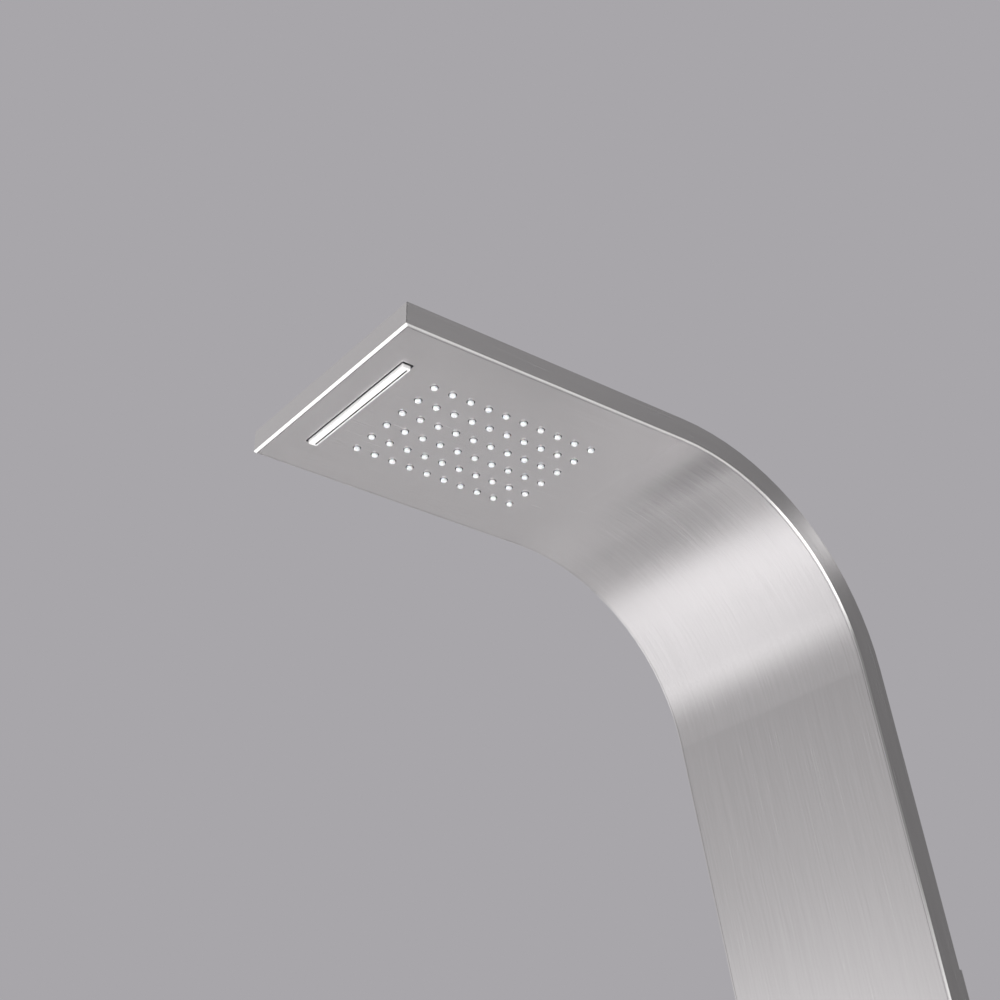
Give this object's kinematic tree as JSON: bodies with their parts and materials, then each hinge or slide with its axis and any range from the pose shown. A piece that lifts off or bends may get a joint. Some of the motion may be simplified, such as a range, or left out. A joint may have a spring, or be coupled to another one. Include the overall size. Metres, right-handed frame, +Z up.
{
  "type": "shower column",
  "caption": "Wall-hung stainless shower column bent over into a flat rain and waterfall head, with tilting body jets, mixer, diverter and hand shower connection.",
  "frame": {"origin": "on the wall plane, midway between the two upper wall screws", "axes": "+X across the column, +Y into the wall, +Z up"},
  "size_m": [0.2, 0.4254, 1.4002],
  "materials": {
    "brushed": "fine brushed grain",
    "chrome": "polished",
    "zinc": "satin, zinc plated",
    "silicone": "soft white silicone",
    "white_plastic": "gloss",
    "dark_plastic": "matt moulded",
    "brass": "machined",
    "copper": "drawn copper tube",
    "hose": "braided, satin"
  },
  "bodies": {
    "column": {"bottom_cap": "brushed", "chamber_nuts": "zinc", "chamber_studs": "zinc", "channel_rivets": "zinc", "cold_inlet": "brass", "diverter_body": "brass", "diverter_cartridge": "brass", "diverter_trim": "chrome", "face_panel": "brushed", "hand_shower_hose": "hose", "hanger_rivets": "zinc", "holder_post": "chrome", "hose_ferrules": "zinc", "hose_outlet": "chrome", "hot_inlet": "brass", "jet_bezel_1": "chrome", "jet_bezel_2": "chrome", "jet_bezel_3": "chrome", "jet_housing_1": "dark_plastic", "jet_housing_2": "dark_plastic", "jet_housing_3": "dark_plastic", "jet_riser": "copper", "lower_hanger": "zinc", "lower_wall_bracket": "zinc", "mixed_water_tube": "copper", "mixer_body": "brass", "mixer_cartridge": "brass", "mixer_trim": "chrome", "neck_nuts": "brass", "nozzle_mat": "silicone", "outer_shell": "brushed", "outlet_banjo": "brass", "rain_chamber": "dark_plastic", "rain_elbow": "brass", "rain_hose": "hose", "rear_channel": "brushed", "shank_nuts": "brass", "side_rail_left": "zinc", "side_rail_right": "zinc", "upper_hanger": "zinc", "upper_wall_bracket": "zinc", "waterfall_blade": "white_plastic", "waterfall_chamber": "dark_plastic", "waterfall_hose": "hose", "waterfall_trim": "dark_plastic"},
    "mixer_knob": {"mixer_knob": "chrome", "mixer_spindle": "brass", "mixer_set_screw": "zinc"},
    "diverter_knob": {"diverter_knob": "chrome", "diverter_spindle": "brass", "diverter_set_screw": "zinc"},
    "handset_holder": {"holder_ring": "chrome", "holder_screw": "zinc"},
    "jet_barrel_1": {"jet_barrel_1": "chrome", "jet_nozzles_1": "silicone"},
    "jet_barrel_2": {"jet_barrel_2": "chrome", "jet_nozzles_2": "silicone"},
    "jet_barrel_3": {"jet_barrel_3": "chrome", "jet_nozzles_3": "silicone"}
  },
  "joints": [
    {"name": "mixer_turn", "type": "hinge", "parent": "column", "child": "mixer_knob", "pos_m": [0, -0.056, -0.78], "axis": [0, -1, 0], "range_deg": [-75, 75]},
    {"name": "diverter_turn", "type": "hinge", "parent": "column", "child": "diverter_knob", "pos_m": [0, -0.056, -0.64], "axis": [0, -1, 0], "range_deg": [-144, 144]},
    {"name": "holder_turn", "type": "hinge", "parent": "column", "child": "handset_holder", "pos_m": [0.058, -0.056, -0.56], "axis": [0, -1, 0], "range_deg": [-60, 60]},
    {"name": "jet_tilt_1", "type": "hinge", "parent": "column", "child": "jet_barrel_1", "pos_m": [0, -0.054, -0.16], "axis": [1, 0, 0], "range_deg": [-20, 20]},
    {"name": "jet_tilt_2", "type": "hinge", "parent": "column", "child": "jet_barrel_2", "pos_m": [0, -0.054, -0.3], "axis": [1, 0, 0], "range_deg": [-20, 20]},
    {"name": "jet_tilt_3", "type": "hinge", "parent": "column", "child": "jet_barrel_3", "pos_m": [0, -0.054, -0.44], "axis": [1, 0, 0], "range_deg": [-20, 20]}
  ]
}
